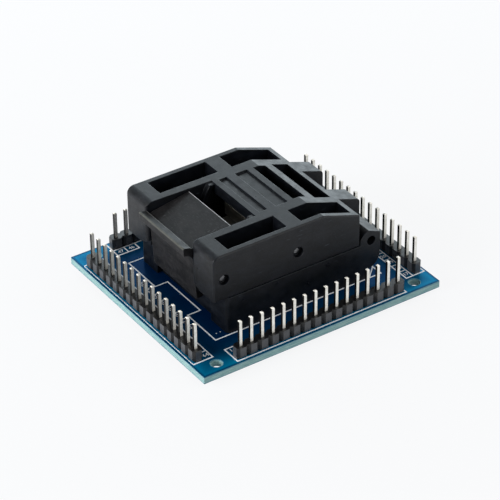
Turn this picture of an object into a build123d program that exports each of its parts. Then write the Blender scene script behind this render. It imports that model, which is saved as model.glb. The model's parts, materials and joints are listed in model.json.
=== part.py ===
from build123d import *
from math import asin, degrees, radians, tan
import os

# Clamshell test socket for a 64-lead square chip, soldered to an adapter board with four rows of pins.
# Millimetres. X runs from the latch at the front to the hinge at the rear, Y to the left, Z up.
# The origin is the surface that the pin tails stand on, under the middle of the board and of the chip.
# A value that ends in _height is counted up from the top face of the board, one that ends in _z from Z 0.

# Circuit board
board_length = 57.0
board_width = 50.0
board_thickness = 1.6
mount_hole_d = 2.5
mount_hole_inset_x = 4.5
mount_hole_inset_y = 2.5

# Pin headers
pins_per_row = 16
pin_pitch = 2.54
pin_side = 0.64
pin_taper = 0.18
pin_tip_height = 8.4
tail_reach = 1.4
pin_hole_side = 0.9
row_inset = 2.0
header_body_width = 2.3
header_body_height = 2.5
header_body_notch = 0.55
header_body_bevel = 0.35
end_row_shift = 0.25
side_row_shift = 0.25

# Contacts, one spring of strip metal under each lead of the chip
leads_per_side = 16
lead_pitch = 0.5
contact_strip = 0.4
contact_thickness = 0.22
contact_side_fit = 0.04
contact_tip_radius = 5.75
contact_tip_height = 6.5
contact_foot_radius = 7.0
contact_bow_radius = 10.2
contact_bow_height = 4.0
contact_foot_height = 0.5
inner_tail_radius = 9.0
outer_tail_radius = 11.0
contact_tail_reach = 1.0
tail_hole_side = 0.6

# Socket base
socket_width = 31.6
base_front = 16.95
base_foot_rear = 16.8
base_height = 8.4
base_corner = 0.8
well_side = 25.2
well_corner = 1.0
comb_height = 5.9
comb_end_gap = 0.15
chip_side = 10.0
chip_fit = 0.1
chip_relief_side = 9.4
chip_relief = 1.0
corner_guide_side = 13.8
corner_guide_opening = 8.6
corner_guide_rise = 2.1
corner_guide_lead_in = 0.5
peg_d = 1.5
peg_fit = 0.05
peg_offset = 13.6
peg_reach = 2.0
latch_recess_depth = 1.15
latch_recess_width = 19.8
catch_width = 12.0
catch_bottom_height = 5.9
catch_reach = 1.7
catch_lip = 0.6

# Hinge
hinge_x = 17.9
hinge_height = 8.8
pin_d = 1.5
pin_fit = 0.04
pin_sunk = 0.8
hinge_pin_sunk = 1.6
pin_end_chamfer = 0.15
bore_mouth_d = 2.4
bore_mouth_depth = 1.1
hinge_mouth_d = 2.1
hinge_mouth_depth = 1.9
ear_radius = 2.65
ear_width = 6.5
ear_back = 2.2
ear_back_height = 10.2
ear_arc_start = 103
ear_flare_height = 5.3
base_foot_height = 2.0
knuckle_inner = 4.2
knuckle_width = 4.4
knuckle_radius = 2.3
knuckle_back = 2.3
knuckle_corner = 1.0
hinge_gap = 0.35

# Lid
lid_front = 20.0
lid_gap = 0.3
lid_depth = 10.3
lid_wall = 1.3
lid_bend_x = 6.2
lid_slope = 19.3
lid_front_corner = 1.5
lid_edge = 0.25
leg_length = 4.2
leg_relief = 0.35
leg_corner = 0.8
leg_bevel_width = 2.4
leg_bevel_height = 1.1
window_width = 15.7
window_rear_x = -4.75
window_rib_reach = 1.1
window_rib_thickness = 1.15
window_rib_slope = 60
rail_wall = 1.95
pocket_floor = 1.5
pin_boss_front = 1.9
pin_boss_rear = 1.5
panel_thickness = 2.4
chamber_rear_x = 8.2
strip_recess_x = -2.45
strip_recess_length = 1.9
panel_recess_x = 1.95
panel_recess_length = 2.9
recess_width = 14.5
recess_depth = 0.4
slot_front_x = 4.8
slot_length = 3.0
slot_width = 14.1
rear_slot_front_x = 9.7
rear_slot_width = 15.2
spring_shelf_front_x = -15.0
spring_shelf_length = 4.8
spring_shelf_bottom_height = 9.3
spring_shelf_thickness = 1.9

# Pressure pad
pad_pin_height = 12.85
pad_side = 13.4
pad_bottom_height = 8.5
pad_plate_thickness = 2.0
pad_hub_radius = 2.1
pad_hub_length = 14.6
press_bar_radius = 5.8
press_bar_thickness = 0.8
press_bar_length = 8.0
press_bar_height = 7.1

# Latch
latch_pin_x = -17.5
latch_pin_height = 13.2
latch_width = 15.6
latch_hub_radius = 1.75
latch_face_x = -19.5
latch_face_lean = 0.6
latch_wall = 1.6
latch_bottom_height = 4.7
latch_edge = 0.25
latch_plate_end_x = -10.1
latch_plate_end_height = 18.5
latch_plate_slope = 10.0
latch_plate_thickness = 1.3
latch_lip_x = -21.9
latch_lip_height = 17.85
latch_lip_top = 1.8
latch_lip_rise = 0.5
latch_lip_drop = 1.9
latch_lip_width = 16.1
latch_lip_foot_height = 13.6
hook_tip_x = -16.4
hook_gap = 0.15
hook_depth = 0.8
latch_spring_slot = 6.4

# Springs, close-wound on their pins
hinge_spring_wire = 0.8
hinge_spring_turns = 6
hinge_spring_leg = 4.0
latch_spring_wire = 0.4
latch_spring_turns = 5
latch_spring_leg = 4.6
latch_spring_low_leg = 4.1
latch_spring_low_angle = -10.7
latch_spring_high_angle = 20.5
spring_pin_gap = 0.1
spring_slot_gap = 0.2

# Places worked out from the sizes above
board_top = tail_reach + board_thickness
rim_z = board_top + base_height
comb_z = board_top + comb_height
half_width = socket_width / 2
bore_d = pin_d + 2 * pin_fit
slot_side = contact_thickness + 2 * contact_side_fit
hinge_z = board_top + hinge_height
lid_bottom_z = rim_z + lid_gap
lid_top_z = lid_bottom_z + lid_depth
lid_rear = hinge_x - ear_radius - hinge_gap
leg_rear_x = -lid_front + leg_length
pocket_inner = window_width / 2 + rail_wall
pocket_outer = half_width - lid_wall
pad_pin_z = board_top + pad_pin_height
latch_pin_z = board_top + latch_pin_height
catch_face_x = -base_front + latch_recess_depth
catch_z = board_top + catch_bottom_height
hinge_spring_radius = pin_d / 2 + spring_pin_gap + hinge_spring_wire / 2
latch_spring_radius = pin_d / 2 + spring_pin_gap + latch_spring_wire / 2

row_x = board_length / 2 - row_inset
row_y = board_width / 2 - row_inset
row_planes = {
    "front": Plane(origin=(-row_x, end_row_shift, board_top), x_dir=(0, 1, 0)),
    "rear": Plane(origin=(row_x, 0, board_top), x_dir=(0, 1, 0)),
    "left": Plane(origin=(side_row_shift, row_y, board_top), x_dir=(1, 0, 0)),
    "right": Plane(origin=(side_row_shift, -row_y, board_top), x_dir=(1, 0, 0)),
}
chip_sides = {"rear": 0, "left": 90, "front": 180, "right": 270}
tail_rows = ((inner_tail_radius, -lead_pitch / 2), (outer_tail_radius, lead_pitch / 2))


def lid_roof_z(x):
    """Height of the lid's top face, which slopes down behind its bend."""
    return lid_top_z - max(0, x - lid_bend_x) * tan(radians(lid_slope))


def cross_bore(x, z, mouth_d=0, mouth_depth=0):
    """The room to cut for a pin along Y, wider at the two side faces where the bore has mouths."""
    with BuildPart() as bore:
        with BuildSketch(Plane.XZ):
            with Locations((x, z)):
                Circle(bore_d / 2)
        extrude(amount=half_width, both=True)
        if mouth_d:
            for inward in (1, -1):
                with BuildSketch(Plane.XZ.offset(-inward * half_width)):
                    with Locations((x, z)):
                        Circle(mouth_d / 2)
                extrude(amount=inward * mouth_depth)
    return bore.part


def cross_pin(x, z, sunk):
    """A pin along Y with bevelled ends, sunk below both side faces."""
    with BuildPart() as pin:
        with BuildSketch(Plane.XZ):
            with Locations((x, z)):
                Circle(pin_d / 2)
        extrude(amount=half_width - sunk, both=True)
        chamfer(pin.edges().filter_by(GeomType.CIRCLE), pin_end_chamfer)
    return pin.part


def torsion_spring(x, z, radius, wire, turns, legs):
    """A close-wound coil round a pin along Y, with straight legs given as (side, angle, start, length).

    The coil is a sleeve with one groove between each two turns. A leg's side is the end of the coil
    that it leaves, its angle is counted up from +X, and its start says whether it leaves over the
    top of the coil (1) or from under it (-1).
    """
    coil_length = wire * turns
    axis_plane = Plane(origin=(x, 0, z), x_dir=(0, 1, 0), z_dir=(1, 0, 0))
    crest = radius + wire / 2
    bottom = radius + wire / 4
    ridge = [(-coil_length / 2, bottom)]
    for turn in range(turns):
        middle = -coil_length / 2 + (turn + 0.5) * wire
        ridge.append((middle, crest))
        ridge.append((middle + wire / 2, bottom))
    with BuildPart() as spring:
        with BuildSketch(axis_plane):
            with BuildLine():
                Polyline(*ridge)
                Polyline(
                    ridge[-1],
                    (coil_length / 2, radius - wire / 2),
                    (-coil_length / 2, radius - wire / 2),
                    ridge[0],
                )
            make_face()
        revolve(axis=Axis((x, 0, z), (0, 1, 0)))
        for side, direction, start, length in legs:
            run = Vector(1, 0, 0).rotate(Axis.Y, -direction)
            up = Vector(0, 0, 1).rotate(Axis.Y, -direction)
            if abs(direction) > 90:
                up = -up
            root = Vector(x, side * (coil_length - wire) / 2, z) + up * (start * radius)
            with BuildSketch(Plane(origin=root, x_dir=(0, 1, 0), z_dir=run)):
                Circle(wire / 2)
            extrude(amount=length)
    return spring.part


os.makedirs("parts", exist_ok=True)

# Circuit board, with a hole for each header pin and each contact tail. The header bodies and the
# socket cover these holes and solder fills them, so they are drawn with four plain walls.
with BuildPart() as circuit_board:
    with BuildSketch(Plane.XY.offset(board_top)):
        Rectangle(board_length, board_width)
        with GridLocations(board_length - 2 * mount_hole_inset_x, board_width - 2 * mount_hole_inset_y, 2, 2):
            Circle(mount_hole_d / 2, mode=Mode.SUBTRACT)
        with Locations((peg_offset, peg_offset), (-peg_offset, -peg_offset)):
            Circle(peg_d / 2 + peg_fit, mode=Mode.SUBTRACT)
        for tail_radius, first_shift in tail_rows:
            with PolarLocations(tail_radius, len(chip_sides)), Locations((0, first_shift)):
                with GridLocations(0, 2 * lead_pitch, 1, leads_per_side // 2):
                    Rectangle(tail_hole_side, tail_hole_side, mode=Mode.SUBTRACT)
    extrude(amount=-board_thickness)
    with BuildSketch(*row_planes.values()):
        with GridLocations(pin_pitch, 0, pins_per_row, 1):
            Rectangle(pin_hole_side, pin_hole_side)
    extrude(amount=-board_thickness, mode=Mode.SUBTRACT)
circuit_board.part.label = "circuit_board"
export_step(circuit_board.part, "parts/circuit_board.step")

# Pin headers: a strip of eight-sided segments, bevelled below, with the square pins pressed through it
with BuildSketch() as header_segment:
    Rectangle(pin_pitch, header_body_width)
    chamfer(header_segment.vertices(), header_body_notch)
for side, plane in row_planes.items():
    with BuildPart() as header_body:
        with BuildSketch(plane):
            with GridLocations(pin_pitch, 0, pins_per_row, 1):
                add(header_segment.sketch)
                Rectangle(pin_side, pin_side, mode=Mode.SUBTRACT)
        extrude(amount=header_body_height)
        with BuildSketch(Plane(origin=plane.origin, x_dir=plane.y_dir, z_dir=plane.x_dir)):
            for face_y in (header_body_width / 2, -header_body_width / 2):
                foot_y = face_y * (1 - 2 * header_body_bevel / header_body_width)
                Polygon((face_y, 0), (foot_y, 0), (face_y, header_body_bevel), align=None)
        extrude(amount=pin_pitch * pins_per_row / 2, both=True, mode=Mode.SUBTRACT)
    header_body.part.label = "header_body_" + side
    export_step(header_body.part, "parts/header_body_" + side + ".step")

    with BuildPart() as header_pins:
        with BuildSketch(plane.offset(pin_tip_height)):
            with GridLocations(pin_pitch, 0, pins_per_row, 1):
                Rectangle(pin_side, pin_side)
        extrude(amount=-(pin_tip_height + board_top))
        tips = header_pins.faces().filter_by(Axis.Z).group_by(Axis.Z)[-1]
        chamfer(tips.edges(), pin_taper)
    header_pins.part.label = "header_pins_" + side
    export_step(header_pins.part, "parts/header_pins_" + side + ".step")

# Socket base, one moulding: side outline with the hinge ears, chip well, comb and catch
with BuildPart() as socket_base:
    with BuildSketch(Plane.XZ):
        with BuildLine():
            ear_arc_end = 180 + degrees(asin((hinge_height - base_height) / ear_radius))
            ear_front = CenterArc((hinge_x, hinge_z), ear_radius, ear_arc_start, ear_arc_end - ear_arc_start)
            Polyline(ear_front @ 1, (-base_front, rim_z), (-base_front, board_top), (base_foot_rear, board_top))
            foot = Line((base_foot_rear, board_top), (base_foot_rear, board_top + base_foot_height))
            flare_top = (hinge_x + ear_back, board_top + ear_flare_height)
            TangentArc(foot @ 1, flare_top, tangent=(1, 0))
            Polyline(flare_top, (hinge_x + ear_back, board_top + ear_back_height), ear_front @ 0)
        make_face()
    extrude(amount=half_width, both=True)
    fillet(socket_base.edges().filter_by(Axis.Z).group_by(Axis.X)[0], base_corner)

    # Room between the ears for the lid's knuckles and the hinge spring
    ear_inner = half_width - ear_width
    hub_clear = knuckle_radius + hinge_gap
    with BuildSketch(Plane.XZ):
        with Locations((hinge_x - hub_clear, hinge_z - hub_clear)):
            Rectangle(board_length, board_length, align=(Align.MIN, Align.MIN))
    extrude(amount=ear_inner, both=True, mode=Mode.SUBTRACT)

    # Well for the chip, with the comb as its floor
    with BuildSketch(Plane.XY.offset(comb_z)):
        RectangleRounded(well_side, well_side, well_corner)
    extrude(amount=lid_depth, mode=Mode.SUBTRACT)
    with BuildSketch(Plane.XY.offset(comb_z)):
        Rectangle(chip_relief_side, chip_relief_side)
    extrude(amount=-chip_relief, mode=Mode.SUBTRACT)
    slot_inner = contact_tip_radius - contact_strip / 2 - comb_end_gap
    slot_outer = outer_tail_radius + contact_strip / 2 + comb_end_gap
    with BuildSketch(Plane.XY.offset(board_top)):
        with PolarLocations((slot_inner + slot_outer) / 2, len(chip_sides)):
            with GridLocations(0, lead_pitch, 1, leads_per_side):
                Rectangle(slot_outer - slot_inner, slot_side)
    extrude(amount=comb_height, mode=Mode.SUBTRACT)

    # Corner guides that lead the chip's body in
    chip_opening = chip_side + 2 * chip_fit
    with BuildSketch(Plane.XY.offset(comb_z)):
        Rectangle(corner_guide_side, corner_guide_side)
        Rectangle(chip_opening, chip_opening, mode=Mode.SUBTRACT)
        Rectangle(corner_guide_side, corner_guide_opening, mode=Mode.SUBTRACT)
        Rectangle(corner_guide_opening, corner_guide_side, mode=Mode.SUBTRACT)
    extrude(amount=corner_guide_rise)
    guide_tops = socket_base.faces().filter_by(Axis.Z).filter_by_position(
        Axis.Z, comb_z + corner_guide_rise - 0.01, comb_z + corner_guide_rise + 0.01
    )
    inner_edges = guide_tops.edges().filter_by(
        lambda edge: max(abs(edge.center().X), abs(edge.center().Y)) < chip_opening / 2 + 0.01
    )
    chamfer(inner_edges, corner_guide_lead_in)

    # Front recess for the latch, with the catch that its hook holds
    with BuildSketch(Plane.XY.offset(board_top)):
        with Locations((catch_face_x, 0)):
            Rectangle(board_length, latch_recess_width, align=(Align.MAX, Align.CENTER))
    extrude(amount=base_height, mode=Mode.SUBTRACT)
    with BuildSketch(Plane.XZ):
        with BuildLine():
            Polyline(
                (catch_face_x, catch_z),
                (catch_face_x - catch_reach, catch_z),
                (catch_face_x - catch_reach, catch_z + catch_lip),
                (catch_face_x, catch_z + catch_lip + catch_reach),
                close=True,
            )
        make_face()
    extrude(amount=catch_width / 2, both=True)

    # Locating pegs, hinge pin bore and the seat of the hinge spring's lower leg
    with BuildSketch(Plane.XY.offset(board_top)):
        with Locations((peg_offset, peg_offset), (-peg_offset, -peg_offset)):
            Circle(peg_d / 2)
    extrude(amount=-peg_reach)
    add(cross_bore(hinge_x, hinge_z, hinge_mouth_d, hinge_mouth_depth), mode=Mode.SUBTRACT)
    leg_y = (hinge_spring_turns - 1) * hinge_spring_wire / 2
    leg_slot = hinge_spring_wire + 2 * spring_slot_gap
    with BuildSketch(Plane.XY.offset(rim_z)):
        with Locations((hinge_x - hinge_spring_leg - spring_slot_gap, -leg_y)):
            Rectangle(hinge_spring_leg, leg_slot, align=(Align.MIN, Align.CENTER))
    extrude(
        amount=-(rim_z - hinge_z + hinge_spring_radius + hinge_spring_wire / 2 + spring_slot_gap),
        mode=Mode.SUBTRACT,
    )
socket_base.part.label = "socket_base"
export_step(socket_base.part, "parts/socket_base.step")


def contact_path(tail_radius):
    """Middle line of one contact, from the end of its tail to its tip, as distances out and heights up."""
    tail_end = -(board_thickness + contact_tail_reach)
    return [
        (tail_radius, tail_end),
        (tail_radius, contact_foot_height),
        (contact_foot_radius, contact_foot_height),
        (contact_bow_radius, contact_bow_height),
        (contact_tip_radius, contact_tip_height),
    ]


# Contacts: each is a flat stamped spring standing in its slot, with its tail through the board
for side, angle in chip_sides.items():
    outward = Vector(1, 0, 0).rotate(Axis.Z, angle)
    across = Vector(0, 1, 0).rotate(Axis.Z, angle)
    with BuildPart() as contacts:
        for tail_radius, first_shift in tail_rows:
            strips = []
            for index in range(leads_per_side // 2):
                shift = first_shift + (index - (leads_per_side // 2 - 1) / 2) * 2 * lead_pitch
                middle = across * shift + Vector(0, 0, board_top)
                strips.append(Plane(origin=middle, x_dir=outward, z_dir=across * -1))
            with BuildSketch(*strips):
                with BuildLine():
                    Polyline(*contact_path(tail_radius))
                trace(line_width=contact_strip)
            extrude(amount=contact_thickness / 2, both=True)
    contacts.part.label = "contacts_" + side
    export_step(contacts.part, "parts/contacts_" + side + ".step")

# Lid: outer shell with its knuckles
with BuildPart() as lid:
    with BuildSketch(Plane.XZ) as side_outline:
        with BuildLine():
            Polyline(
                (-lid_front, lid_bottom_z),
                (-lid_front, lid_top_z),
                (lid_bend_x, lid_top_z),
                (lid_rear, lid_roof_z(lid_rear)),
                (lid_rear, lid_bottom_z),
                close=True,
            )
        make_face()
        fillet(side_outline.vertices().group_by(Axis.X)[0].sort_by(Axis.Y)[-1], lid_front_corner)
    extrude(amount=half_width, both=True)
    side_edges = lid.faces().filter_by(Axis.Y).edges()
    chamfer(side_edges.filter_by(lambda edge: edge.center().Z > lid_bottom_z + lid_depth / 2), lid_edge)

    knuckle_planes = (Plane.XZ.offset(knuckle_inner), Plane.XZ.offset(-knuckle_inner - knuckle_width))
    with BuildSketch(*knuckle_planes) as knuckle_outline:
        with BuildLine():
            knuckle_back_x = hinge_x + knuckle_back
            knuckle_top = lid_roof_z(knuckle_back_x)
            Polyline(
                (lid_rear - lid_wall, lid_roof_z(lid_rear - lid_wall)),
                (knuckle_back_x, knuckle_top),
                (knuckle_back_x, hinge_z),
                (hinge_x - knuckle_radius, hinge_z),
                (lid_rear - lid_wall, lid_bottom_z),
                close=True,
            )
        make_face()
        with Locations((hinge_x, hinge_z)):
            Circle(knuckle_radius)
        fillet(knuckle_outline.vertices().sort_by_distance((knuckle_back_x, knuckle_top))[0], knuckle_corner)
    extrude(amount=knuckle_width)

    # Window over the chip, open at the front between two legs for the latch and a little wider there
    leg_inner = window_width / 2 + leg_relief
    with BuildSketch(Plane.XY.offset(lid_bottom_z)) as window_outline:
        Polygon(
            (-lid_front, leg_inner),
            (-lid_front, -leg_inner),
            (window_rear_x, -window_width / 2),
            (window_rear_x, window_width / 2),
            align=None,
        )
        with Locations((-lid_front, 0)):
            Rectangle(lid_wall, socket_width, align=(Align.MAX, Align.CENTER))
        mouth = window_outline.vertices().filter_by_position(Axis.X, -lid_front - 0.01, -lid_front + 0.01)
        fillet(mouth.filter_by_position(Axis.Y, -leg_inner - 0.01, leg_inner + 0.01), leg_corner)
    extrude(amount=lid_depth, mode=Mode.SUBTRACT)
    for side in (1, -1):
        with BuildSketch(Plane.YZ.offset(-lid_front)):
            Polygon(
                (side * leg_inner, lid_bottom_z),
                (side * (leg_inner + leg_bevel_width), lid_bottom_z),
                (side * leg_inner, lid_bottom_z + leg_bevel_height),
                align=None,
            )
        extrude(amount=leg_length, mode=Mode.SUBTRACT)

    # Chamber for the pressure pad, under the panel behind the window
    with BuildSketch(Plane.XY.offset(lid_bottom_z)):
        with Locations((window_rear_x, 0)):
            Rectangle(chamber_rear_x - window_rear_x, window_width, align=(Align.MIN, Align.CENTER))
    extrude(amount=lid_depth - panel_thickness, mode=Mode.SUBTRACT)

    # Deep pockets in the two side rails, before and behind the bosses of the pad's pin
    pocket_width = pocket_outer - pocket_inner
    pocket_middle = (pocket_outer + pocket_inner) / 2
    pocket_ends = ((leg_rear_x, -pin_boss_front), (pin_boss_rear, lid_rear - lid_wall))
    with BuildSketch(Plane.XY.offset(lid_bottom_z + pocket_floor)):
        for start_x, end_x in pocket_ends:
            with Locations((start_x, pocket_middle), (start_x, -pocket_middle)):
                Rectangle(end_x - start_x, pocket_width, align=(Align.MIN, Align.CENTER))
    extrude(amount=lid_depth, mode=Mode.SUBTRACT)

    # Shallow recesses in the panel, and the two slots behind it
    with BuildSketch(Plane.XY.offset(lid_top_z)):
        with Locations((strip_recess_x, 0)):
            Rectangle(strip_recess_length, recess_width)
        with Locations((panel_recess_x, 0)):
            Rectangle(panel_recess_length, recess_width)
    extrude(amount=-recess_depth, mode=Mode.SUBTRACT)
    with BuildSketch(Plane.XY.offset(lid_bottom_z)):
        with Locations((slot_front_x, 0)):
            Rectangle(slot_length, slot_width, align=(Align.MIN, Align.CENTER))
        with Locations((rear_slot_front_x, 0)):
            rear_slot_length = lid_rear - lid_wall - rear_slot_front_x
            Rectangle(rear_slot_length, rear_slot_width, align=(Align.MIN, Align.CENTER))
    extrude(amount=lid_depth, mode=Mode.SUBTRACT)

    # Cross shelf in front of the chamber, where the latch spring's lower leg rests
    with BuildSketch(Plane.XY.offset(board_top + spring_shelf_bottom_height)):
        with Locations((spring_shelf_front_x, 0)):
            Rectangle(spring_shelf_length, window_width + rail_wall, align=(Align.MIN, Align.CENTER))
    extrude(amount=spring_shelf_thickness)

    # Slanting rib on each side wall of the window, from the panel's front edge down to the shelf
    rib_root = window_width / 2 - window_rib_reach
    rib_width = window_rib_reach + leg_relief
    shelf_middle_z = board_top + spring_shelf_bottom_height + spring_shelf_thickness / 2
    rib_run = (lid_top_z - lid_edge - shelf_middle_z) / tan(radians(window_rib_slope))
    with BuildSketch(Plane.XZ.offset(rib_root), Plane.XZ.offset(-rib_root - rib_width)):
        Polygon(
            (window_rear_x, lid_top_z - lid_edge),
            (window_rear_x - rib_run, shelf_middle_z),
            (window_rear_x - rib_run - window_rib_thickness, shelf_middle_z),
            (window_rear_x - window_rib_thickness, lid_top_z - lid_edge),
            align=None,
        )
    extrude(amount=rib_width)

    # Notch under the rear bar for the hinge spring's upper leg
    leg_top = hinge_z + hinge_spring_radius + hinge_spring_wire / 2 + spring_slot_gap
    with BuildSketch(Plane.XY.offset(lid_bottom_z)):
        with Locations((lid_rear, leg_y)):
            Rectangle(2 * lid_wall, leg_slot)
    extrude(amount=leg_top - lid_bottom_z, mode=Mode.SUBTRACT)

    add(cross_bore(hinge_x, hinge_z), mode=Mode.SUBTRACT)
    add(cross_bore(0, pad_pin_z, bore_mouth_d, bore_mouth_depth), mode=Mode.SUBTRACT)
    add(cross_bore(latch_pin_x, latch_pin_z, bore_mouth_d, bore_mouth_depth), mode=Mode.SUBTRACT)
lid.part.label = "lid"
export_step(lid.part, "parts/lid.step")

# Pressure pad: hangs on its pin in the lid and presses the chip's leads onto the contacts
with BuildPart() as pressure_pad:
    pad_bottom_z = board_top + pad_bottom_height
    pad_plate_top_z = pad_bottom_z + pad_plate_thickness
    with BuildSketch(Plane.XY.offset(pad_bottom_z)):
        Rectangle(pad_side, pad_side)
    extrude(amount=pad_plate_thickness)
    chamfer(pressure_pad.edges().group_by(Axis.Z)[-1], pad_plate_thickness / 4)
    with BuildSketch(Plane.XZ):
        with Locations((0, pad_pin_z)):
            Circle(pad_hub_radius)
        with Locations((0, pad_plate_top_z)):
            Rectangle(2 * pad_hub_radius, pad_pin_z - pad_plate_top_z, align=(Align.CENTER, Align.MIN))
    extrude(amount=pad_hub_length / 2, both=True)
    with BuildSketch(Plane.XY.offset(board_top + press_bar_height)):
        with PolarLocations(press_bar_radius, len(chip_sides)):
            Rectangle(press_bar_thickness, press_bar_length)
    extrude(amount=pad_bottom_height - press_bar_height)
    add(cross_bore(0, pad_pin_z), mode=Mode.SUBTRACT)
pressure_pad.part.label = "pressure_pad"
export_step(pressure_pad.part, "parts/pressure_pad.step")

# Latch: finger plate with a lip in front, hub, and a wall down to the hook under the catch
with BuildPart() as latch:
    plate_rise = tan(radians(latch_plate_slope))
    plate_end_z = board_top + latch_plate_end_height
    lip_inner_x = latch_lip_x + latch_lip_top
    plate_front_x = lip_inner_x + latch_lip_rise
    plate_front_z = plate_end_z - (latch_plate_end_x - plate_front_x) * plate_rise
    lip_z = board_top + latch_lip_height
    hook_z = catch_z - hook_gap
    wall_inner_x = latch_face_x + latch_wall
    with BuildSketch(Plane.XZ) as latch_outline:
        with BuildLine():
            lip_foot = (latch_face_x, board_top + latch_lip_foot_height)
            lip_edge = (latch_lip_x + hook_gap, lip_z - latch_lip_drop)
            lip_front = (latch_lip_x, lip_z)
            lip_rear = (lip_inner_x, plate_front_z + latch_lip_rise)
            plate_end = (latch_plate_end_x, plate_end_z)
            TangentArc(lip_foot, lip_edge, tangent=(0, 1))
            Polyline(
                lip_edge,
                lip_front,
                lip_rear,
                (plate_front_x, plate_front_z),
                plate_end,
                (latch_plate_end_x, plate_end_z - latch_plate_thickness),
                (latch_pin_x, latch_pin_z + latch_hub_radius),
                (wall_inner_x, latch_pin_z - latch_hub_radius),
                (wall_inner_x, hook_z),
                (hook_tip_x, hook_z),
                (hook_tip_x, hook_z - hook_depth),
                (wall_inner_x, board_top + latch_bottom_height),
                (latch_face_x + latch_face_lean, board_top + latch_bottom_height),
                lip_foot,
            )
        make_face()
        for corner in (lip_front, lip_rear, plate_end):
            fillet(latch_outline.vertices().sort_by_distance(corner)[0], latch_edge)
        with Locations((latch_pin_x, latch_pin_z)):
            Circle(latch_hub_radius)
    extrude(amount=latch_lip_width / 2, both=True)

    # Behind the lip the latch is a little narrower, to run between the rails of the lid
    with BuildSketch(Plane.XY.offset(board_top)):
        with Locations((plate_front_x, 0)):
            Rectangle(board_length, latch_lip_width, align=(Align.MIN, Align.CENTER))
            Rectangle(board_length, latch_width, align=(Align.MIN, Align.CENTER), mode=Mode.SUBTRACT)
    extrude(amount=lid_top_z, mode=Mode.SUBTRACT)
    spring_room = latch_spring_radius + latch_spring_wire / 2 + spring_pin_gap
    with BuildSketch(Plane.XZ):
        with Locations((latch_pin_x, latch_pin_z)):
            Circle(spring_room)
            Rectangle(2 * latch_hub_radius, 2 * latch_hub_radius, align=(Align.MIN, Align.CENTER))
    extrude(amount=latch_spring_slot / 2, both=True, mode=Mode.SUBTRACT)
    add(cross_bore(latch_pin_x, latch_pin_z), mode=Mode.SUBTRACT)
latch.part.label = "latch"
export_step(latch.part, "parts/latch.step")

# Pins of the hinge, the pad and the latch
cross_pins = {
    "hinge_pin": (hinge_x, hinge_z, hinge_pin_sunk),
    "pad_pin": (0, pad_pin_z, pin_sunk),
    "latch_pin": (latch_pin_x, latch_pin_z, pin_sunk),
}
for name, place in cross_pins.items():
    pin = cross_pin(*place)
    pin.label = name
    export_step(pin, "parts/" + name + ".step")

# Hinge spring: its upper leg lifts the lid's rear bar, its lower leg pushes on the base
hinge_legs = ((1, 180, 1, hinge_spring_leg), (-1, 180, -1, hinge_spring_leg))
hinge_spring = torsion_spring(
    hinge_x, hinge_z, hinge_spring_radius, hinge_spring_wire, hinge_spring_turns, hinge_legs
)
hinge_spring.label = "hinge_spring"
export_step(hinge_spring, "parts/hinge_spring.step")

# Latch spring: its upper leg lifts the finger plate, its lower leg rests on the lid's shelf
latch_legs = (
    (1, latch_spring_high_angle, 1, latch_spring_leg),
    (-1, latch_spring_low_angle, -1, latch_spring_low_leg),
)
latch_spring = torsion_spring(
    latch_pin_x, latch_pin_z, latch_spring_radius, latch_spring_wire, latch_spring_turns, latch_legs
)
latch_spring.label = "latch_spring"
export_step(latch_spring, "parts/latch_spring.step")
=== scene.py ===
import itertools
import json
import math
import random

import bmesh
import bpy
from mathutils import Matrix, Vector


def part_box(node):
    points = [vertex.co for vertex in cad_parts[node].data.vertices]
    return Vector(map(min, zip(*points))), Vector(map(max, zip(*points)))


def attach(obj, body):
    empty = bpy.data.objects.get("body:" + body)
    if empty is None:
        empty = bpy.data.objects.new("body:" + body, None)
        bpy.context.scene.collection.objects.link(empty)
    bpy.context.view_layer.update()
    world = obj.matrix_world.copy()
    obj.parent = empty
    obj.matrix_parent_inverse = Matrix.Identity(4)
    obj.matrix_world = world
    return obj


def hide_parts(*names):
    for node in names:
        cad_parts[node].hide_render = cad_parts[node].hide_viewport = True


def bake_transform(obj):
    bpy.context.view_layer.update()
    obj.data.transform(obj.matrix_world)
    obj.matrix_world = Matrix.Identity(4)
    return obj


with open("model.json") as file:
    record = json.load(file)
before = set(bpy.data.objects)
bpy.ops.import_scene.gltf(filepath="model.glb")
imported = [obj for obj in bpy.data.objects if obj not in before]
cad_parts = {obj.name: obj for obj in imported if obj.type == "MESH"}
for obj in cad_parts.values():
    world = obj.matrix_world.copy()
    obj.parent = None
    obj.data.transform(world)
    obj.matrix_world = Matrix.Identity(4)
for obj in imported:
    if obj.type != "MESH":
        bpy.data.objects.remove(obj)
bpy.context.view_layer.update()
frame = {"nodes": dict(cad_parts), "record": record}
scene = bpy.context.scene
scene.view_settings.view_transform = "Standard"
rng = random.Random(64)

# Lengths and places are in millimetres in the frame of the part, and finished meshes are scaled to
# metres. Only the floor and the lamps are given in metres
MM = 0.001
MM_PER_METRE = 1000


def in_mm(place):
    """A place from the frame, given in metres, in millimetres to a hundredth."""
    return [round(value / MM, 2) for value in place]


mounts = {mount["name"]: mount for mount in frame["record"]["mounts"]}
joints = {joint["name"]: joint for joint in frame["record"]["behaviour"]["joints"]}

board_low, board_high = (in_mm(corner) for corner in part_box("circuit_board"))
BOARD_LENGTH = board_high[0] - board_low[0]
BOARD_WIDTH = board_high[1] - board_low[1]
BOARD_UNDER = board_low[2]
BOARD_TOP = board_high[2]
MOUNT_HOLE_X = mounts["board_holes"]["dims"]["spacing_x_mm"] / 2
MOUNT_HOLE_Y = mounts["board_holes"]["dims"]["spacing_y_mm"] / 2
MOUNT_HOLE_RIM = (1.3, 1.38)

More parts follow.
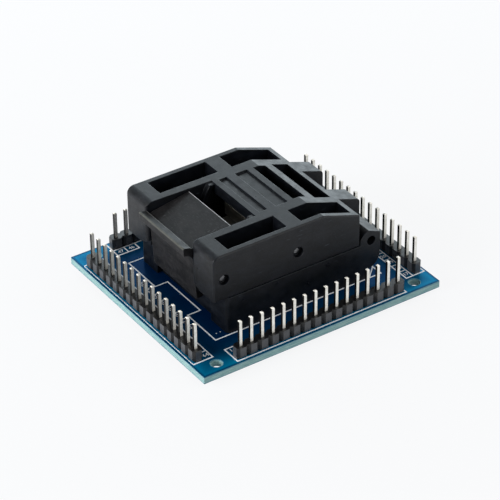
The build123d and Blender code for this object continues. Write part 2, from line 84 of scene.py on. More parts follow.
# Header pins: the middle of each row and the direction it runs in
PINS_PER_ROW = 16
PIN_PITCH = 2.54
ROW_START = -PIN_PITCH * (PINS_PER_ROW - 1) / 2
ROW_DIRECTIONS = {"front": (0, 1), "rear": (0, 1), "left": (1, 0), "right": (1, 0)}
PIN_ROWS = {}
for side, direction in ROW_DIRECTIONS.items():
    PIN_ROWS[side] = (in_mm(mounts["pins_" + side]["pos_m"])[:2], direction)

# Contact tails: two staggered rows on each side of the chip, as distance from the middle and stagger
TAILS_PER_ROW = 8
TAIL_PITCH = 1.0
TAIL_ROWS = ((9.0, -0.25), (11.0, 0.25))

BEVEL_SAMPLES = 6


# Nodes for the materials

class Nodes:
    """The node tree of a material or a world, with short calls for the nodes used here."""

    def __init__(self, owner):
        owner.use_nodes = True
        self.tree = owner.node_tree
        self.tree.nodes.clear()

    def node(self, kind, inputs=None, **settings):
        """A new node. Each of its inputs is given a value or the output of another node."""
        made = self.tree.nodes.new(kind)
        for key, value in settings.items():
            setattr(made, key, value)
        for key, value in (inputs or {}).items():
            self.put(made.inputs[key], value)
        return made

    def put(self, socket, value):
        if isinstance(value, bpy.types.NodeSocket):
            self.tree.links.new(value, socket)
        else:
            socket.default_value = value

    def math(self, operation, a, b=0.0, clamp=False):
        return self.node("ShaderNodeMath", {0: a, 1: b}, operation=operation, use_clamp=clamp).outputs[0]

    def plus(self, a, b):
        return self.math("ADD", a, b)

    def minus(self, a, b):
        return self.math("SUBTRACT", a, b)

    def times(self, a, b, clamp=False):
        return self.math("MULTIPLY", a, b, clamp)

    def positive(self, a):
        return self.math("ABSOLUTE", a)

    def distance(self, a, b):
        """How far away a point is that lies a off in one direction and b off in the other."""
        return self.math("SQRT", self.plus(self.times(a, a), self.times(b, b)))

    def ramp(self, value, low, high, to_low=0.0, to_high=1.0):
        """Leads low to to_low and high to to_high, and holds the value at these ends."""
        limits = {"From Min": low, "From Max": high, "To Min": to_low, "To Max": to_high}
        return self.node("ShaderNodeMapRange", {"Value": value, **limits}).outputs[0]


class Shader(Nodes):
    """A principled material. Its marks are placed in the frame of the part and ride with their piece."""

    def __init__(self, name):
        self.material = bpy.data.materials.new(name)
        super().__init__(self.material)
        self.out = self.node("ShaderNodeOutputMaterial")
        self.bsdf = self.node("ShaderNodeBsdfPrincipled")
        self.put(self.out.inputs["Surface"], self.bsdf.outputs[0])
        self.place = self.node("ShaderNodeTexCoord").outputs["Object"]

    def stretched(self, x=1.0, y=1.0, z=1.0, turn=(0.0, 0.0, 0.0)):
        """The place in millimetres, stretched along the axes and turned."""
        scale = (x * MM_PER_METRE, y * MM_PER_METRE, z * MM_PER_METRE)
        inputs = {"Vector": self.place, "Scale": scale, "Rotation": turn}
        return self.node("ShaderNodeMapping", inputs).outputs[0]

    def noise(self, scale, detail=2.0, rough=0.5, vector=None, distort=0.0):
        """A cloudy grey, with patches about 1 / scale millimetres wide."""
        inputs = {"Vector": vector or self.stretched(), "Scale": scale, "Detail": detail}
        inputs.update({"Roughness": rough, "Distortion": distort})
        return self.node("ShaderNodeTexNoise", inputs).outputs["Fac"]

    def mix(self, factor, a, b):
        return self.node("ShaderNodeMix", {0: factor, 6: a, 7: b}, data_type="RGBA").outputs[2]

    def split(self, vector):
        return self.node("ShaderNodeSeparateXYZ", {0: vector}).outputs

    def facing(self, kind):
        """The direction that the surface looks in, as x, y and z."""
        return self.split(self.node("ShaderNodeNewGeometry").outputs[kind])

    def rounding(self, width):
        """The surface's normal, as if its edges were rounded off by width millimetres."""
        return self.node("ShaderNodeBevel", {"Radius": width * MM}, samples=BEVEL_SAMPLES).outputs[0]

    def edges(self, width):
        """0 on a flat face and up to 1 on an edge, within width millimetres of it."""
        flat = self.node("ShaderNodeNewGeometry").outputs["Normal"]
        inputs = {0: self.rounding(width), 1: flat}
        likeness = self.node("ShaderNodeVectorMath", inputs, operation="DOT_PRODUCT")
        return self.ramp(likeness.outputs["Value"], 0.995, 0.75)

    def bump(self, height, strength, distance, normal=None):
        inputs = {"Height": height, "Strength": strength, "Distance": distance * MM}
        if normal is not None:
            inputs["Normal"] = normal
        return self.node("ShaderNodeBump", inputs).outputs[0]

    def set(self, **values):
        """Values for the principled node. An underscore stands for the space in an input's name."""
        for key, value in values.items():
            self.put(self.bsdf.inputs[key.replace("_", " ")], value)


def colour(red, green, blue):
    """A colour given as 0 to 255 on the screen, for a shader."""
    def linear(value):
        value /= 255
        return value / 12.92 if value <= 0.04045 else ((value + 0.055) / 1.055) ** 2.4
    return (linear(red), linear(green), linear(blue), 1.0)


# Moulded plastic

def moulded(name, dark, light, pale_wear_and_sheen, roughness, grain=0.014, wear_and_edge_sheen=1.0, shine=0.3, painted_side_light=None, painted_highlights=()):
    """Glass-filled moulded plastic: fine grain, flow marks, faint scuffs, and edges made paler, partly by
    abrasion and partly as painted highlight.

    A painted-light colour for upright faces square to X or Y, lighter than the tops and chamfers as though
    more light fell on them.
    Painted highlights: bright lines painted along edges that run along Y, given as x, z, width and colour of
    each.
    """
    s = Shader(name)
    cloud = s.noise(0.55, detail=3, rough=0.55)
    fine = s.noise(9.0, detail=3, rough=0.6)
    flow = s.noise(0.16, detail=4, rough=0.6, vector=s.stretched(1.0, 0.7, 2.2), distort=1.4)
    fibre = s.noise(5.0, detail=2, rough=0.5, vector=s.stretched(1.0, 0.22, 1.0, (0.3, 0.2, 0.5)))
    base = s.mix(s.ramp(flow, 0.3, 0.7), dark, light)
    base = s.mix(s.ramp(fibre, 0.55, 0.85, 0.0, 0.14), base, pale_wear_and_sheen)

    # Painted light: upright faces square to X or Y are made lighter than the tops and chamfers
    if painted_side_light:
        across, along, _ = s.facing("True Normal")
        square = s.math("MAXIMUM", s.positive(across), s.positive(along))
        patchy = s.ramp(s.noise(0.8, detail=3, rough=0.6), 0.3, 0.7, 0.7, 1.0)
        base = s.mix(s.times(s.ramp(square, 0.8, 0.95), patchy), base, painted_side_light)

    # Paler edges: partly abraded, partly a painted highlight
    patchy = s.ramp(s.noise(1.1, detail=4, rough=0.65), 0.3, 0.7, 0.25, 1.0)
    edge = s.times(s.edges(0.16), patchy)
    base = s.mix(s.times(edge, 0.32 * wear_and_edge_sheen, clamp=True), base, pale_wear_and_sheen)
    scratch = s.noise(2.2, detail=1, rough=0.4, vector=s.stretched(0.12, 2.4, 1.2, (0.1, 0.3, 0.7)))
    scuff = s.times(s.ramp(scratch, 0.68, 0.74), s.ramp(cloud, 0.5, 0.72))
    base = s.mix(s.times(scuff, 0.3 * wear_and_edge_sheen, clamp=True), base, pale_wear_and_sheen)

    # Painted highlights: bright lines along the given edges, standing in for light caught there
    for highlight_x, highlight_z, width, tone in painted_highlights:
        x, _, z = s.split(s.stretched())
        away = s.distance(s.minus(x, highlight_x), s.minus(z, highlight_z))
        patchy = s.ramp(s.noise(0.7, detail=3, rough=0.6), 0.3, 0.6, 0.5, 1.0)
        base = s.mix(s.times(s.ramp(away, width, 0.5 * width), patchy), base, tone)

    rough = s.plus(s.ramp(cloud, 0.25, 0.75, roughness - 0.1, roughness + 0.12), s.times(fine, 0.06))
    rough = s.minus(rough, s.times(edge, 0.08))
    swell = s.noise(0.42, detail=3, rough=0.55, distort=0.6)
    waves = s.bump(swell, 0.35, 0.05, s.rounding(0.13))
    height = s.plus(fine, s.times(s.noise(2.4, detail=2, rough=0.5), 0.8))
    s.set(Base_Color=base, Roughness=rough, Normal=s.bump(height, 0.45, grain, waves))
    s.set(Specular_IOR_Level=shine)
    return s.material


socket_plastic = moulded(
    "socket_plastic", colour(2, 3, 5), colour(15, 18, 24), colour(84, 92, 102), 0.33,
    wear_and_edge_sheen=1.2, shine=0.27,
)
# Painted highlights along the rear edge of the latch's plate and the edges of its lip
plate_rear_highlight = (-10.1, BOARD_TOP + 18.5, 0.32, colour(236, 236, 238))
lip_front_highlight = (-21.9, BOARD_TOP + 17.85, 0.5, colour(84, 85, 79))
lip_rear_highlight = (-20.1, BOARD_TOP + 17.32, 0.2, colour(120, 120, 118))
latch_plastic = moulded(
    "latch_plastic", colour(12, 12, 13), colour(34, 33, 34), colour(118, 119, 122), 0.38,
    wear_and_edge_sheen=1.6, shine=0.18, painted_highlights=(plate_rear_highlight, lip_front_highlight, lip_rear_highlight),
)
pad_plastic = moulded(
    "pad_plastic", colour(150, 147, 140), colour(172, 169, 160), colour(192, 188, 178), 0.46, wear_and_edge_sheen=0.6
)
# The header's upright faces get painted light
header_plastic = moulded(
    "header_plastic", colour(6, 6, 7), colour(15, 15, 17), colour(80, 82, 86), 0.3,
    grain=0.015, wear_and_edge_sheen=0.3, shine=0.45, painted_side_light=colour(66, 67, 70),
)


# Board, with its mask and its cut edges

WEAVE = 9.0


def mask_colour(s, x, y, weave, cloud, fine):
    """The blue of the mask, and where it is bare round the four holes.

    Painted light and shade: it is paler and greener towards the board's edges and a dark blue further in,
    where the socket and headers shade it. It ends in a darker border round the board.
    """
    rim_x = s.minus(BOARD_LENGTH / 2, s.positive(x))
    rim_y = s.minus(BOARD_WIDTH / 2, s.positive(y))
    rim = s.math("MINIMUM", rim_x, rim_y)
    # Painted light and shade: paler towards the board's edges, darker further in
    painted_edge_light = s.math("EXPONENT", s.times(rim, -0.33))
    patchy = s.ramp(cloud, 0.3, 0.7)
    threads = s.ramp(weave, -1.0, 1.0, 0.0, 0.12)
    painted_shade_blue = s.mix(threads, s.mix(patchy, colour(0, 25, 68), colour(0, 35, 82)), colour(0, 50, 98))
    pale = s.mix(threads, s.mix(patchy, colour(0, 120, 168), colour(0, 136, 176)), colour(0, 158, 206))
    mask = s.mix(painted_edge_light, painted_shade_blue, pale)
    mask = s.mix(s.ramp(fine, 0.62, 0.8, 0.0, 0.12), mask, colour(0, 120, 160))

    ragged = s.times(s.noise(1.6, detail=3, rough=0.6), 0.12)
    border = s.ramp(s.minus(rim, ragged), 0.05, 0.62, 0.85, 0.0)
    mask = s.mix(border, mask, colour(0, 36, 76))

    off_x = s.minus(s.positive(x), MOUNT_HOLE_X)
    off_y = s.minus(s.positive(y), MOUNT_HOLE_Y)
    bare = s.times(s.ramp(s.distance(off_x, off_y), *MOUNT_HOLE_RIM, 1.0, 0.0), 0.6)
    return s.mix(bare, mask, colour(142, 196, 198)), bare


def laminate_colour(s, z, specks):
    """Layers of glass cloth in pale resin, with the mask's line at the top and the bottom."""
    layers = s.noise(1.0, detail=3, rough=0.6, vector=s.stretched(0.5, 0.5, 9.0))
    laminate = s.mix(s.ramp(layers, 0.35, 0.7), colour(108, 145, 148), colour(158, 184, 178))
    laminate = s.mix(s.ramp(specks, 0.58, 0.75, 0.0, 0.55), laminate, colour(198, 210, 201))
    upper = s.ramp(z, BOARD_TOP - 0.26, BOARD_TOP - 0.06)
    lower = s.ramp(z, BOARD_UNDER + 0.16, BOARD_UNDER + 0.04)
    return s.mix(s.times(s.math("MAXIMUM", upper, lower), 0.8), laminate, colour(18, 86, 124))


def board_material():
    """Blue solder mask with the glass cloth showing faintly, and bare laminate at the board's edges."""
    s = Shader("solder_mask")
    x, y, z = s.split(s.stretched())
    flat = s.ramp(s.positive(s.facing("Normal")[2]), 0.5, 0.9)
    weave = s.times(s.math("SINE", s.times(x, WEAVE)), s.math("SINE", s.times(y, WEAVE)))
    cloud = s.noise(0.12, detail=4, rough=0.55)
    fine = s.noise(4.0, detail=3, rough=0.6)
    specks = s.noise(3.4, detail=3, rough=0.7, vector=s.stretched(1.0, 1.0, 2.2))
    mask, bare = mask_colour(s, x, y, weave, cloud, fine)
    gloss = s.plus(s.ramp(cloud, 0.3, 0.7, 0.27, 0.36), s.times(fine, 0.05))
    height = s.mix(flat, specks, s.plus(s.times(weave, 0.5), fine))
    s.set(
        Base_Color=s.mix(flat, laminate_colour(s, z, specks), mask),
        Metallic=s.times(flat, s.minus(0.3, s.times(bare, 0.27))),
        Roughness=s.mix(flat, (0.62, 0.62, 0.62, 1), gloss),
        Normal=s.bump(height, 0.3, 0.012, s.rounding(0.05)),
        Specular_IOR_Level=0.06,
        Specular_Tint=(0.08, 0.7, 1.0, 1.0),
    )
    return s.material


# Metals, print and tracks

def metal(
    name, tone, other, dirt, roughness, drawn=(1.0, 1.0, 1.0), dirt_amount=0.35,
    shaded_x_faces=None, metallic=1.0, shine=0.5,
):
    """Plated or drawn metal: faint drawing lines, uneven plating and a little tarnish in places.

    drawn stretches the lines: they are long where it is small.
    Painted shade: the darker colour given to the faces that look along X.
    """
    s = Shader(name)
    lines = s.noise(3.0, detail=3, rough=0.6, vector=s.stretched(*drawn))
    plating = s.noise(0.9, detail=4, rough=0.6, distort=0.8)
    tarnish = s.ramp(s.noise(1.7, detail=4, rough=0.7), 0.55, 0.8, 0.0, dirt_amount)
    base = s.mix(s.ramp(plating, 0.35, 0.7), tone, other)
    base = s.mix(tarnish, base, dirt)
    # Painted shade on the faces that look along X
    if shaded_x_faces:
        along = s.positive(s.facing("True Normal")[0])
        base = s.mix(s.ramp(along, 0.75, 0.95), base, shaded_x_faces)
    rough = s.ramp(lines, 0.3, 0.7, roughness - 0.05, roughness + 0.08)
    rough = s.plus(rough, s.times(tarnish, 0.3))
    s.set(Base_Color=base, Roughness=rough, Normal=s.bump(lines, 0.25, 0.006, s.rounding(0.05)))
    s.set(Metallic=metallic, Specular_IOR_Level=shine)
    return s.material


# The pins' faces that look along X carry painted shade
pin_metal = metal(
    "pin_metal", colour(250, 247, 239), colour(226, 222, 211), colour(118, 110, 96), 0.38,
    drawn=(2.0, 2.0, 0.16), shaded_x_faces=colour(22, 21, 20), metallic=0.4, shine=0.1,
)
contact_metal = metal(
    "contact_metal", colour(240, 205, 130), colour(222, 184, 108), colour(150, 112, 60), 0.22
)
pin_steel = metal(
    "pin_steel", colour(128, 129, 131), colour(96, 97, 100), colour(60, 58, 56), 0.26,
    drawn=(2.6, 0.2, 2.6),
)
spring_steel = metal(
    "spring_steel", colour(190, 188, 184), colour(160, 158, 156), colour(84, 78, 72), 0.28,
    drawn=(1.4, 1.4, 1.4),
)
solder_metal = metal(
    "solder", colour(214, 216, 218), colour(190, 193, 197), colour(132, 130, 124), 0.2,
    drawn=(0.7, 0.7, 0.7), dirt_amount=0.3,
)
copper_pad = metal(
    "tinned_copper", colour(220, 206, 186), colour(205, 190, 168), colour(150, 120, 90), 0.3
)


def ink_material():
    """White board print: matt, a little thin in places, with a grainy surface."""
    s = Shader("board_print")
    thin = s.noise(2.6, detail=4, rough=0.65)
    s.set(
        Base_Color=s.mix(s.ramp(thin, 0.36, 0.55), colour(236, 242, 248), colour(252, 253, 255)),
        Roughness=s.ramp(thin, 0.3, 0.7, 0.55, 0.72),
        Normal=s.bump(s.noise(12.0, detail=2, rough=0.6), 0.3, 0.006),
    )
    return s.material


def track_material():
    """Copper track under the mask: a lighter blue than the board round it."""
    s = Shader("masked_track")
    cloud = s.noise(0.5, detail=4, rough=0.55)
    s.set(
        Base_Color=s.mix(s.ramp(cloud, 0.3, 0.7), colour(0, 62, 104), colour(0, 78, 122)),
        Roughness=s.ramp(s.noise(4.0, detail=3, rough=0.6), 0.3, 0.7, 0.26, 0.36),
        Normal=s.bump(s.noise(6.0, detail=2, rough=0.5), 0.2, 0.006),
        Metallic=0.5,
        Specular_IOR_Level=0.12,
    )
    return s.material


board_print = ink_material()
node_materials = {
    "circuit_board": board_material(),
    "socket_base": socket_plastic,
    "lid": socket_plastic,
    "latch": latch_plastic,
    "pressure_pad": pad_plastic,
    "hinge_pin": pin_steel,
    "pad_pin": pin_steel,
    "latch_pin": pin_steel,
    "hinge_spring": spring_steel,
    "latch_spring": spring_steel,
}
for side in PIN_ROWS:
    node_materials["header_body_" + side] = header_plastic
    node_materials["header_pins_" + side] = pin_metal
    node_materials["contacts_" + side] = contact_metal
for name, node in frame["nodes"].items():
    for slot in node.material_slots:
        slot.material = node_materials[name]


# Meshes and pieces

def mesh_of(name, form):
    """A bmesh in millimetres becomes a mesh in metres."""
    bmesh.ops.recalc_face_normals(form, faces=form.faces)
    form.transform(Matrix.Scale(MM, 4))
    made = bpy.data.meshes.new(name)
    form.to_mesh(made)
    form.free()
    return made


def dressed(name, mesh, material, smooth=None):
    """A mesh becomes an object. Its faces are smooth where they meet at less than smooth degrees."""
    made = bpy.data.objects.new(name, mesh)
    scene.collection.objects.link(made)
    mesh.materials.append(material)
    if smooth is not None:
        mesh.polygons.foreach_set("use_smooth", [True] * len(mesh.polygons))
        mesh.set_sharp_from_angle(angle=math.radians(smooth))
    return made


def piece(name, form, material, body, smooth=None):
    """A finished form becomes a piece that rides on a body."""
    made = dressed(name, mesh_of(name, form), material, smooth)
    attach(made, body)


def skin(form, rings, closed=False):
    """Faces from each ring of vertices to the next, with end faces where the run isn't closed."""
    following = rings[1:] + rings[:1] if closed else rings[1:]
    for a, b in zip(rings, following):
        for k in range(len(a)):
            after = (k + 1) % len(a)
            form.faces.new((a[k], a[after], b[after], b[k]))
    if not closed:
        form.faces.new(rings[0][::-1])
        form.faces.new(rings[-1])


MITRE_LIMIT = 0.35


def strip(form, points, width, low, high, closed=False):
    """A flat line of ink or copper along points in the plane, with mitred corners and straight sides."""
    points = [Vector(p) for p in points]
    count = len(points)
    rings = []
    for i, here in enumerate(points):
        into = (here - points[i - 1]).normalized() if i > 0 or closed else None
        out = (points[(i + 1) % count] - here).normalized() if i < count - 1 or closed else None
        into, out = into or out, out or into
        normal = Vector((-into.y - out.y, into.x + out.x)).normalized()
        reach = width / 2 / max(MITRE_LIMIT, normal.dot(Vector((-into.y, into.x))))
        left, right = here + normal * reach, here - normal * reach
        corners = ((left, low), (left, high), (right, high), (right, low))
        rings.append([form.verts.new((p.x, p.y, z)) for p, z in corners])
    skin(form, rings, closed)


# Printed lines. Their tops take turns at levels a hair apart, so that few that cross share a plane

INK = 0.31
THIN_INK = 0.26
TICK_INK = 0.24
MARK_INK = 0.2
EDGE_INK = 0.16
INK_TOP = BOARD_TOP + 0.02
INK_STEP = 0.0004
INK_LAYERS = 20

ink = bmesh.new()
ink_layers = itertools.cycle(range(INK_LAYERS))


def from_corner(x, y):
    """A place measured from the board's front right corner, in the frame of the part."""
    return x - BOARD_LENGTH / 2, y - BOARD_WIDTH / 2


def line(points, width=INK, closed=False):
    """A printed line through places measured from the corner."""
    top = INK_TOP - INK_STEP * next(ink_layers)
    strip(ink, [from_corner(x, y) for x, y in points], width, BOARD_TOP, top, closed)


# Socket outline with a stepped front, a diagonal across its rear right corner and two small marks
line([
    (8.6, 41.3), (8.55, 31.15), (11.57, 31.15), (11.57, 19.05),
    (8.55, 19.05), (8.52, 8.9), (48.85, 8.9), (48.85, 41.3),
], closed=True)
line([(45.9, 8.9), (48.85, 11.75)], THIN_INK)
for spot in (9.86, 10.8):
    line([(spot - 0.1, 10.7), (spot + 0.1, 10.7)], MARK_INK)

# Front row's box, with a tick between each two pins and a dash beside each tick at the outer line
outer, inner, near, far = 0.56, 5.05, 4.65, 45.6
line([(outer, near), (inner, near), (inner, far), (outer, far)])
line([(outer, near), (outer, far)], EDGE_INK)
for index in range(PINS_PER_ROW - 1):
    step = PIN_PITCH * index
    line([(3.2, 7.19 + step), (inner, 7.19 + step)], TICK_INK)
    line([(0.58, 7.2 + step), (0.58, 7.75 + step)], THIN_INK)

# Right row's box, with a gap in its rear end
line([(49.05, 1.5), (49.05, 0.66), (8.22, 0.7), (8.22, 5.27), (49.05, 5.27), (49.05, 3.4)])

# Rear row's box, with a tick between each two numbers
outer, cells, inner, near, far = 56.5, 53.66, 52.0, 4.47, 45.2
line([(outer, far), (outer, near), (inner, near), (inner, far)], closed=True)
line([(cells, near), (cells, far)], THIN_INK)
for index in range(PINS_PER_ROW - 1):
    step = PIN_PITCH * index
    line([(inner, 7.02 + step), (cells, 7.02 + step)], TICK_INK)

# Left row's box, open towards the board's edge, with two cells at its front end
line([(8.3, 49.8), (8.25, 46.92), (49.05, 46.92), (49.05, 49.8)])
line([(8.25, 46.92), (8.22, 44.87), (13.4, 44.87), (13.4, 46.92)])
line([(10.8, 44.87), (10.8, 46.92)], THIN_INK)
piece("print_lines", ink, board_print, "base")


# Printed numbers

NUMBER_HEIGHT = 0.95
LARGE_NUMBER_HEIGHT = 1.3
FONT_SIZE_PER_HEIGHT = 1.35
HALF_PRINT = 0.009
PRINT_SPREAD = 0.012


def label(form, text, x, y, height=NUMBER_HEIGHT, turn=0):
    """Adds a plain number in flat print with its middle at x, y."""
    font = bpy.data.curves.new("number", "FONT")
    font.body = text
    font.size = height * FONT_SIZE_PER_HEIGHT
    font.align_x = "CENTER"
    font.align_y = "CENTER"
    font.extrude = HALF_PRINT
    font.offset = PRINT_SPREAD
    font.resolution_u = 2
    holder = bpy.data.objects.new("number", font)
    scene.collection.objects.link(holder)
    bpy.context.view_layer.update()
    mesh = bpy.data.meshes.new_from_object(holder.evaluated_get(bpy.context.evaluated_depsgraph_get()))
    bpy.data.objects.remove(holder)
    spin = Matrix.Rotation(math.radians(turn), 4, "Z")
    mesh.transform(Matrix.Translation((x, y, BOARD_TOP + HALF_PRINT)) @ spin)
    form.from_mesh(mesh)
    bpy.data.meshes.remove(mesh)


numbers = bmesh.new()
label(numbers, "47", *from_corner(9.55, 45.88))
label(numbers, "46", *from_corner(12.1, 45.88))
front_x, front_y = from_corner(4.22, 5.92)
rear_x, rear_y = from_corner(52.83, 5.75)
_, right_y = from_corner(0, 4.35)
for index in range(PINS_PER_ROW):
    step = index * PIN_PITCH
    label(numbers, str(64 - index), front_x, front_y + step)
    label(numbers, str(17 + index), rear_x, rear_y + step)
    label(numbers, str(1 + index), ROW_START + step - 0.3, right_y)
large_x, large_y = from_corner(6.95, 33.3)
for index in range(PINS_PER_ROW // 2):
    text = str(50 + 2 * index)
    label(numbers, text, large_x, large_y - index * PIN_PITCH, LARGE_NUMBER_HEIGHT, turn=-90)
piece("print_numbers", numbers, board_print, "base")


# Solder and copper under the board

def quarters(turn):
    """A turn in the plane by this many quarters, which leads the rear side to each of the others."""
    return Matrix.Rotation(math.radians(90 * turn), 2)


def turned(form, x, y, rings, sides, wobble=0.0, square=None):
    """A form turned round an upright axis, from rings of (radius, height), and lumpy by wobble.

    The last ring is square where it meets a square pin, and square is about half that pin's side.
    """
    phase = rng.random() * math.tau
    # Three more draws, of which the last isn't used
    swell, second_phase, _ = (1 + wobble * (rng.random() - 0.5) for _ in range(3))
    made = []
    for level, (radius, height) in enumerate(rings):
        meets_pin = square and level == len(rings) - 1
        ring = []
        for k in range(sides):
            angle = math.tau * k / sides
            across, along = math.cos(angle), math.sin(angle)
            if meets_pin:
                reach = square / max(abs(across), abs(along))
            else:
                lump = 0.5 * math.sin(angle + phase) * swell + 0.3 * math.sin(2 * angle + second_phase)
                reach = radius * (1 + wobble * lump)
            ring.append(form.verts.new((x + reach * across, y + reach * along, height)))
        made.append(ring)
    skin(form, made)


def soldered(x, y, pad, pad_sides, foot, cone, lift, sides, wobble, square):
    """A copper pad under the board, and solder drawn down along its pin, by up to lift more or less.

    pad is rings of (radius, depth under the board), and foot and cone are rings of (radius, height).
    """
    turned(pads, x, y, [(radius, BOARD_UNDER - depth) for radius, depth in pad], pad_sides)
    drawn = rng.uniform(-lift, lift)
    rings = foot + [(radius, height + drawn) for radius, height in cone]
    turned(solder, x, y, rings, sides, wobble, square)


pin_joint = {
    "pad": [(0.88, 0.0), (0.88, 0.03), (0.84, 0.045)],
    "pad_sides": 24,
    "foot": [(0.8, 1.36), (0.77, 1.28)],
    "cone": [(0.66, 1.12), (0.53, 0.94), (0.43, 0.74), (0.38, 0.6), (0.36, 0.5)],
    "lift": 0.06,
    "sides": 20,
    "wobble": 0.1,
    "square": 0.325,
}
tail_joint = {
    "pad": [(0.42, 0.0), (0.42, 0.03), (0.4, 0.04)],
    "pad_sides": 16,
    "foot": [(0.385, 1.365), (0.37, 1.27)],
    "cone": [(0.31, 1.12), (0.255, 0.98), (0.225, 0.86), (0.21, 0.8)],
    "lift": 0.04,
    "sides": 16,
    "wobble": 0.08,
    "square": 0.2,
}

pin_places = []
for side, ((row_x, row_y), (dx, dy)) in PIN_ROWS.items():
    for index in range(PINS_PER_ROW):
        offset = ROW_START + index * PIN_PITCH
        pin_places.append((side, row_x + dx * offset, row_y + dy * offset))
tail_places = []
for turn in range(4):
    for radius, stagger in TAIL_ROWS:
        for index in range(TAILS_PER_ROW):
            lateral = stagger + TAIL_PITCH * (index - (TAILS_PER_ROW - 1) / 2)
            x, y = quarters(turn) @ Vector((radius, lateral))
            tail_places.append((turn, radius, lateral, x, y))

pads = bmesh.new()
solder = bmesh.new()
for _, x, y in pin_places:
    soldered(x, y, **pin_joint)
for _, _, _, x, y in tail_places:
    soldered(x, y, **tail_joint)
piece("solder_pads", pads, copper_pad, "base", 40)
piece("solder_joints", solder, solder_metal, "base", 50)

# One track leads from each contact's tail to a pin of the row on its side, in the same order
TRACK_WIDTH = 0.22
TRACK_DEPTH = 0.03
TRACK_LEAD = 0.35
TRACK_KNEE = 12.0
TRACK_KNEE_SPREAD = 0.045
TRACK_BEND_TO_ROW = 1.6
TRACK_END_TO_ROW = 0.8

tracks = bmesh.new()
for turn, side in enumerate(("rear", "left", "front", "right")):
    spin = quarters(turn)
    back = spin.inverted()
    row_reach = max(abs(value) for value in PIN_ROWS[side][0])
    tails = sorted((lateral, radius) for t, radius, lateral, _, _ in tail_places if t == turn)
    pins = sorted((back @ Vector((x, y))).y for s, x, y in pin_places if s == side)
    for (lateral, radius), pin in zip(tails, pins):
        path = [
            (radius + TRACK_LEAD, lateral),
            (TRACK_KNEE + TRACK_KNEE_SPREAD * abs(pin), lateral),
            (row_reach - TRACK_BEND_TO_ROW, pin),
            (row_reach - TRACK_END_TO_ROW, pin),
        ]
        points = [spin @ Vector(place) for place in path]
        strip(tracks, points, TRACK_WIDTH, BOARD_UNDER, BOARD_UNDER - TRACK_DEPTH)
piece("tracks_under", tracks, track_material(), "base")


# Springs, wound from round wire

WIRE_SIDES = 14
WIRE_RADIUS_SHARE = 0.49
WIRE_END_SHARE = 0.36
STEPS_PER_TURN = 28
STEPS_PER_LEG = 6


def leg_root(angle, start):
    """The direction along a leg, and the angle round the axis at which it leaves the coil."""
    away = Vector((math.cos(math.radians(angle)), math.sin(math.radians(angle))))
    side = Vector((-away.y, away.x))
    if abs(angle) > 90:
        side = -side
    root = side * start
    return away, math.atan2(root.y, root.x)


def wire_line(axis, radius, span, turns, legs):
    """The middle line of a spring's wire: in along its low leg, round the coil and out along its high leg."""
    x, z = axis
    (low_angle, low_start, low_length), (high_angle, high_start, high_length) = legs
    low_run, low_phase = leg_root(low_angle, low_start)
    high_run, high_phase = leg_root(high_angle, high_start)
    low_at = Vector((math.cos(low_phase), math.sin(low_phase)))
    high_at = Vector((math.cos(high_phase), math.sin(high_phase)))
    # The coil winds the way in which the wire comes in from its low leg
    winding = 1 if low_run.dot(Vector((-low_at.y, low_at.x))) < 0 else -1
    sweep = (high_phase - low_phase) * winding % math.tau + math.tau * (turns - 1)
    steps = int(STEPS_PER_TURN * sweep / math.tau)

    centre = []
    for k in range(STEPS_PER_LEG, 0, -1):
        at = low_at * radius + low_run * low_length * k / STEPS_PER_LEG
        centre.append(Vector((x + at.x, -span / 2, z + at.y)))
    for k in range(steps + 1):
        angle = low_phase + winding * sweep * k / steps
        across, up = radius * math.cos(angle), radius * math.sin(angle)
        centre.append(Vector((x + across, -span / 2 + span * k / steps, z + up)))
    for k in range(1, STEPS_PER_LEG + 1):
        at = high_at * radius + high_run * high_length * k / STEPS_PER_LEG
        centre.append(Vector((x + at.x, span / 2, z + at.y)))
    return centre


def round_wire(centre, wire):
    """A round wire along its middle line, a little thinner at its two ends."""
    form = bmesh.new()
    rings = []
    normal = None
    last = len(centre) - 1
    for i, here in enumerate(centre):
        ahead = (centre[min(i + 1, last)] - centre[max(i - 1, 0)]).normalized()
        if normal is None:
            normal = ahead.cross(Vector((0, 1, 0))).normalized()
        normal = (normal - ahead * normal.dot(ahead)).normalized()
        other = ahead.cross(normal)
        size = wire * (WIRE_END_SHARE if i in (0, last) else WIRE_RADIUS_SHARE)
        ring = []
        for k in range(WIRE_SIDES):
            angle = math.tau * k / WIRE_SIDES
            spot = here + normal * size * math.cos(angle) + other * size * math.sin(angle)
            ring.append(form.verts.new(spot))
        rings.append(ring)
    skin(form, rings)
    return form


def wound(name, joint, radius, wire, turns, legs, node):
    """A close-wound torsion spring round a joint's axis, with two straight legs from the ends of the coil.

    legs are (angle, start, length) at the low and the high Y end, with the angle counted up from +X, and
    start 1 where the leg leaves over the top of the coil, -1 where it leaves from under it.
    """
    x, _, z = in_mm(joints[joint]["pos_m"])
    span = wire * (turns - 1)
    form = round_wire(wire_line((x, z), radius, span, turns, legs), wire)
    made = dressed(name, mesh_of(name, form), spring_steel, 50)
    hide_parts(node)
    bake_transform(made)


wound(
    "hinge_spring_wire", "lid_hinge", radius=1.25, wire=0.8, turns=6,
    legs=((180, -1, 4.0), (180, 1, 4.0)), node="hinge_spring",
)
wound(
    "latch_spring_wire", "latch_pivot", radius=1.05, wire=0.4, turns=5,
    legs=((-10.7, -1, 4.1), (20.5, 1, 4.6)), node="latch_spring",
)


# Floor and light, with lengths and places in metres

FLOOR_REACH = 3.0
FLOOR_DROP = 0.00002
FLOOR_SEEN = 0.88
FLOOR_MIRRORED = 0.8
WORLD_LIGHT = 0.12
WORLD_MIRRORED = 0.3


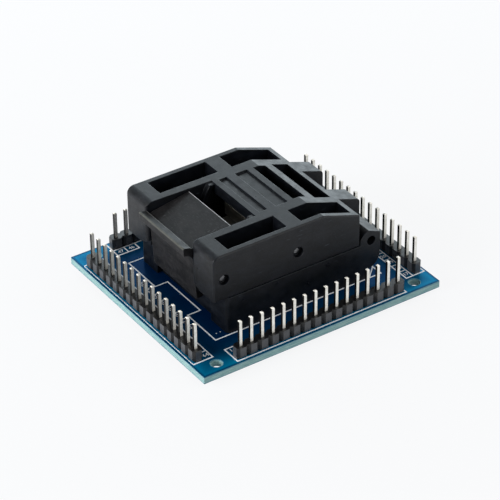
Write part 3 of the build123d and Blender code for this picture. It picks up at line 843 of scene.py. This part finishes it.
def floor():
    """A pale flat floor. The camera sees it nearly white, with the part's shadow on it."""
    form = bmesh.new()
    bmesh.ops.create_grid(form, x_segments=2, y_segments=2, size=FLOOR_REACH)
    mesh = bpy.data.meshes.new("floor")
    form.to_mesh(mesh)
    form.free()
    s = Shader("floor")
    base = s.mix(s.noise(0.02, detail=3, rough=0.5), (0.66, 0.72, 0.8, 1), (0.69, 0.75, 0.83, 1))
    s.set(Base_Color=base, Roughness=0.9, Specular_IOR_Level=0.1)
    light = s.node("ShaderNodeEmission", {"Color": (1, 1, 1, 1), "Strength": 1.0}).outputs[0]
    rays = s.node("ShaderNodeLightPath").outputs
    camera_share = s.times(rays["Is Camera Ray"], FLOOR_SEEN)
    mirror_share = s.times(rays["Is Glossy Ray"], FLOOR_MIRRORED)
    seen = s.math("MAXIMUM", camera_share, mirror_share)
    mixed = s.node("ShaderNodeMixShader", {0: seen, 1: s.bsdf.outputs[0], 2: light}).outputs[0]
    s.put(s.out.inputs["Surface"], mixed)
    made = dressed("floor", mesh, s.material)
    made.location.z = -FLOOR_DROP


def studio():
    """A world that lights the part softly and looks white to the camera."""
    world = bpy.data.worlds.new("studio")
    scene.world = world
    s = Nodes(world)
    rays = s.node("ShaderNodeLightPath").outputs
    shown = s.math("MAXIMUM", rays["Is Camera Ray"], rays["Is Transmission Ray"])
    factor = s.math("MAXIMUM", shown, s.times(rays["Is Glossy Ray"], WORLD_MIRRORED))
    plain = s.node("ShaderNodeBackground", {0: (0.97, 0.985, 1.0, 1), 1: WORLD_LIGHT}).outputs[0]
    white = s.node("ShaderNodeBackground", {0: (1, 1, 1, 1), 1: 1.0}).outputs[0]
    both = s.node("ShaderNodeMixShader", {0: factor, 1: plain, 2: white}).outputs[0]
    s.node("ShaderNodeOutputWorld", {0: both})


def lamp(name, place, size, power, tint=(1, 1, 1)):
    """A soft lamp that faces the middle of the part. Place and size are in metres, power in watts."""
    data = bpy.data.lights.new(name, "AREA")
    data.shape = "RECTANGLE"
    data.size, data.size_y = size
    data.energy = power
    data.color = tint
    made = bpy.data.objects.new(name, data)
    scene.collection.objects.link(made)
    made.location = place
    made.rotation_mode = "QUATERNION"
    made.rotation_quaternion = (Vector((0, 0, 0.01)) - Vector(place)).to_track_quat("-Z", "Y")


floor()
studio()
lamp("key", place=(-0.66, 0.06, 0.22), size=(0.5, 0.42), power=7.0)
lamp("back", place=(0.12, 0.27, 0.11), size=(0.6, 0.2), power=1.06, tint=(0.8, 0.93, 1.0))
lamp("fill", place=(0.42, -0.62, 0.42), size=(1.2, 0.8), power=5.2)


# Camera, fitted to the pin tips and board corners of the photograph. Angles are in degrees

CAMERA_AZIMUTH = -33.892
CAMERA_ELEVATION = 34.138
CAMERA_ROLL = -0.559
CAMERA_DISTANCE = 499.392
CAMERA_AIM_HEIGHT = 8.0
CAMERA_LENS = 177.07
CAMERA_SENSOR = 36.0
CAMERA_SHIFT_X = -0.0071
CAMERA_SHIFT_Y = -0.003


def photo_camera():
    """The camera at the photograph's viewing angle."""
    angles = (CAMERA_AZIMUTH, CAMERA_ELEVATION, CAMERA_ROLL)
    azimuth, elevation, roll = (math.radians(angle) for angle in angles)
    back = Vector((
        math.sin(azimuth) * math.cos(elevation),
        -math.cos(azimuth) * math.cos(elevation),
        math.sin(elevation),
    ))
    level = Vector((math.cos(azimuth), math.sin(azimuth), 0))
    raised = back.cross(level)
    right = level * math.cos(roll) + raised * math.sin(roll)
    up = raised * math.cos(roll) - level * math.sin(roll)
    data = bpy.data.cameras.new("camera")
    data.sensor_width = CAMERA_SENSOR
    data.lens = CAMERA_LENS
    data.shift_x = CAMERA_SHIFT_X
    data.shift_y = CAMERA_SHIFT_Y
    data.clip_start, data.clip_end = 0.01, 20
    made = bpy.data.objects.new("camera", data)
    scene.collection.objects.link(made)
    spot = Vector((0, 0, CAMERA_AIM_HEIGHT * MM)) + back * CAMERA_DISTANCE * MM
    made.matrix_world = Matrix((
        (right.x, up.x, back.x, spot.x),
        (right.y, up.y, back.y, spot.y),
        (right.z, up.z, back.z, spot.z),
        (0, 0, 0, 1),
    ))
    return made


scene.camera = photo_camera()
